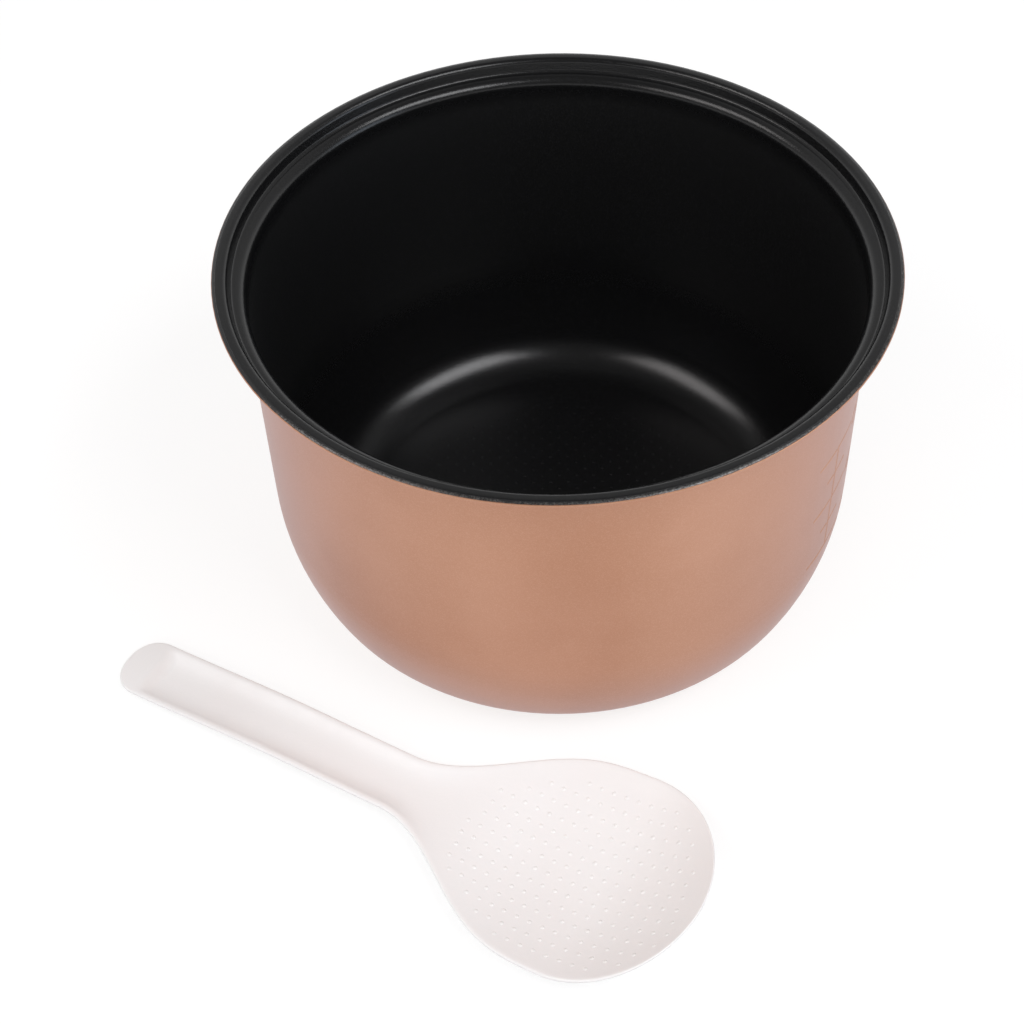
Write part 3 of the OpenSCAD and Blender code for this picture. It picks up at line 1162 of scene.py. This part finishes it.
def softbox(name, spot, aim, width, height, watts, tint):
    """A rectangular lamp turned towards a point."""
    lamp = bpy.data.lights.new(name, "AREA")
    lamp.shape = "RECTANGLE"
    lamp.size, lamp.size_y, lamp.energy, lamp.color = width, height, watts, tint
    facing = (Vector(aim) - Vector(spot)).to_track_quat("-Z", "Y").to_matrix().to_4x4()
    made = linked(name, lamp)
    made.matrix_world = Matrix.Translation(spot) @ facing
    return made


class RICEPOT_OT_studio(bpy.types.Operator):
    """Lays the floor, sets the lamps and the world, and places the camera"""

    bl_idname = "rice_pot.studio"
    bl_label = "Studio"

    floor_half, floor_drop = 6.0, 0.05 * MM
    # Each lamp's place, width and height in metres, and its colour
    lamps = {
        "key": ((0.62, -0.43, 1.1), 0.85, 0.45, (0.98, 0.985, 1)),
        "fill": ((-0.8, -0.27, 1.04), 0.9, 0.45, (1, 0.965, 0.96)),
        "side": ((1.1, -0.35, 0.35), 0.5, 0.7, (0.72, 0.84, 1)),
        "soft": ((-0.3, -1, 0.85), 0.8, 0.8, (1, 1, 1)),
    }
    lamps_aim = (0, -0.03, 0.05)
    # Elevations between which the world dims for gloss: in front, and twice behind
    front_dims = sin(radians(6)), sin(radians(22))
    back_dims = sin(radians(10)), sin(radians(32))
    ceiling_dims = sin(radians(50)), sin(radians(75))
    # How far back, as a share of the distance, the front passes into the back
    front_end, back_start = -0.2, 0.5

    def lay_floor(self, studio):
        half, z = self.floor_half, -self.floor_drop
        corners = [(x * half, y * half, z) for x, y in ((-1, -1), (1, -1), (1, 1), (-1, 1))]
        floor = mesh_object("studio_floor", corners, faces=[(0, 1, 2, 3)])
        floor.data.materials.append(floor_finish(studio))

    def new_world(self, studio):
        world = bpy.data.worlds.new("studio_world")
        tree = cleared(world)
        direction = tree.parts(tree.add("ShaderNodeTexCoord").Generated)
        rise, back_level = direction.Z, studio.back_level
        front = tree.spread(rise, *self.front_dims, 1, studio.ceiling_level)
        overhead = tree.spread(rise, *self.ceiling_dims, 1, studio.ceiling_level / back_level)
        back = tree.spread(rise, *self.back_dims, 1, back_level) * overhead
        behind = tree.spread(direction.Y, self.front_end, self.back_start, 0, 1, smooth=True)
        backdrop = tree.spread(behind, 0, 1, front, back)
        level = tree.spread(seen_directly(tree), 0, 1, studio.world_level, backdrop)
        sky = tree.add("ShaderNodeBackground", Color=WHITE, Strength=level)
        tree.add("ShaderNodeOutputWorld", Surface=sky)
        return world

    def new_camera(self, studio):
        camera = bpy.data.cameras.new("studio_camera")
        camera.sensor_width = 36
        camera.lens = studio.camera_lens
        camera.shift_x = studio.camera_shift
        camera.clip_start = 0.01
        made = linked("studio_camera", camera)
        tilt = Matrix.Rotation(pi / 2 - studio.camera_down, 4, "X")
        roll = Matrix.Rotation(-studio.camera_roll, 4, "Z")
        made.matrix_world = Matrix.Translation(studio.camera_place) @ tilt @ roll
        return made

    def execute(self, context):
        scene = context.scene
        studio = scene.rice_pot.studio
        self.lay_floor(studio)
        for name, (spot, width, height, tint) in self.lamps.items():
            watts = getattr(studio, name + "_watts")
            lamp = softbox(name + "_softbox", spot, self.lamps_aim, width, height, watts, tint)
            lamp.visible_glossy = name != "soft"
        scene.world = self.new_world(studio)
        scene.camera = self.new_camera(studio)
        scene.view_settings.view_transform = "Standard"
        return {"FINISHED"}


class RICEPOT_PT_sidebar(bpy.types.Panel):
    """Lists the pieces, and the sizes and colours they are made from"""

    bl_idname = "RICEPOT_PT_sidebar"
    bl_label = "Rice pot"
    bl_space_type = "VIEW_3D"
    bl_region_type = "UI"
    bl_category = "Rice Pot"

    def draw(self, context):
        for operator in OPERATORS:
            self.layout.operator(operator.bl_idname)
        settings = context.scene.rice_pot
        for part in settings.__annotations__:
            group, box = getattr(settings, part), self.layout.box()
            for name in group.__annotations__:
                box.prop(group, name)


GROUPS = (PotSizes, ScaleSizes, PaddleSizes, StudSizes, Finishes, Studio, RicePotSettings)
OPERATORS = (
    RICEPOT_OT_shell,
    RICEPOT_OT_lining,
    RICEPOT_OT_coat,
    RICEPOT_OT_floor_dots,
    RICEPOT_OT_paddle,
    RICEPOT_OT_blade_dots,
    RICEPOT_OT_studio,
)


def register():
    for item in (*GROUPS, *OPERATORS, RICEPOT_PT_sidebar):
        bpy.utils.register_class(item)
    bpy.types.Scene.rice_pot = PointerProperty(type=RicePotSettings)


def unregister():
    del bpy.types.Scene.rice_pot
    for item in (RICEPOT_PT_sidebar, *reversed(OPERATORS), *reversed(GROUPS)):
        bpy.utils.unregister_class(item)


def main():
    """Builds every piece and the studio."""
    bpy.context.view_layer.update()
    register()
    for operator in OPERATORS:
        name = operator.bl_idname.split(".")[1]
        getattr(bpy.ops.rice_pot, name)()


if __name__ == "__main__":
    main()
